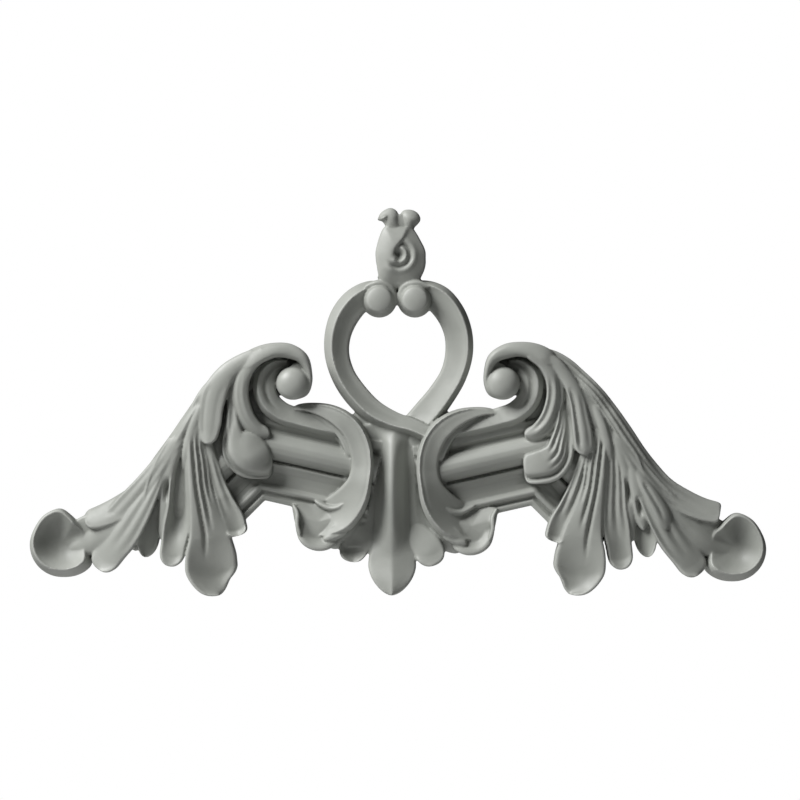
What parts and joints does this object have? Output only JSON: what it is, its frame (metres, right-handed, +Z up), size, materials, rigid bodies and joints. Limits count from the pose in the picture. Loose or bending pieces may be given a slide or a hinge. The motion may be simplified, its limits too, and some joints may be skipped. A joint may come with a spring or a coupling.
{
  "type": "moulding corner ornament",
  "caption": "Acanthus corner piece for a panel moulding: two leafy scrolled wings over a mitred moulding, joined by a ribbon loop with a bud and a hanging leaf.",
  "frame": {"origin": "middle of the flat back, on the wall plane, level with the middle of the moulding", "axes": "+X along the piece to the viewer's right, +Z up, +Y into the wall; the relief faces -Y"},
  "size_m": [0.442, 0.0313, 0.2324],
  "materials": {
    "grey_primer": "satin-matt grey primer on a hard moulded resin casting"
  },
  "bodies": {
    "root": {"corner_ornament": "grey_primer"}
  },
  "joints": []
}
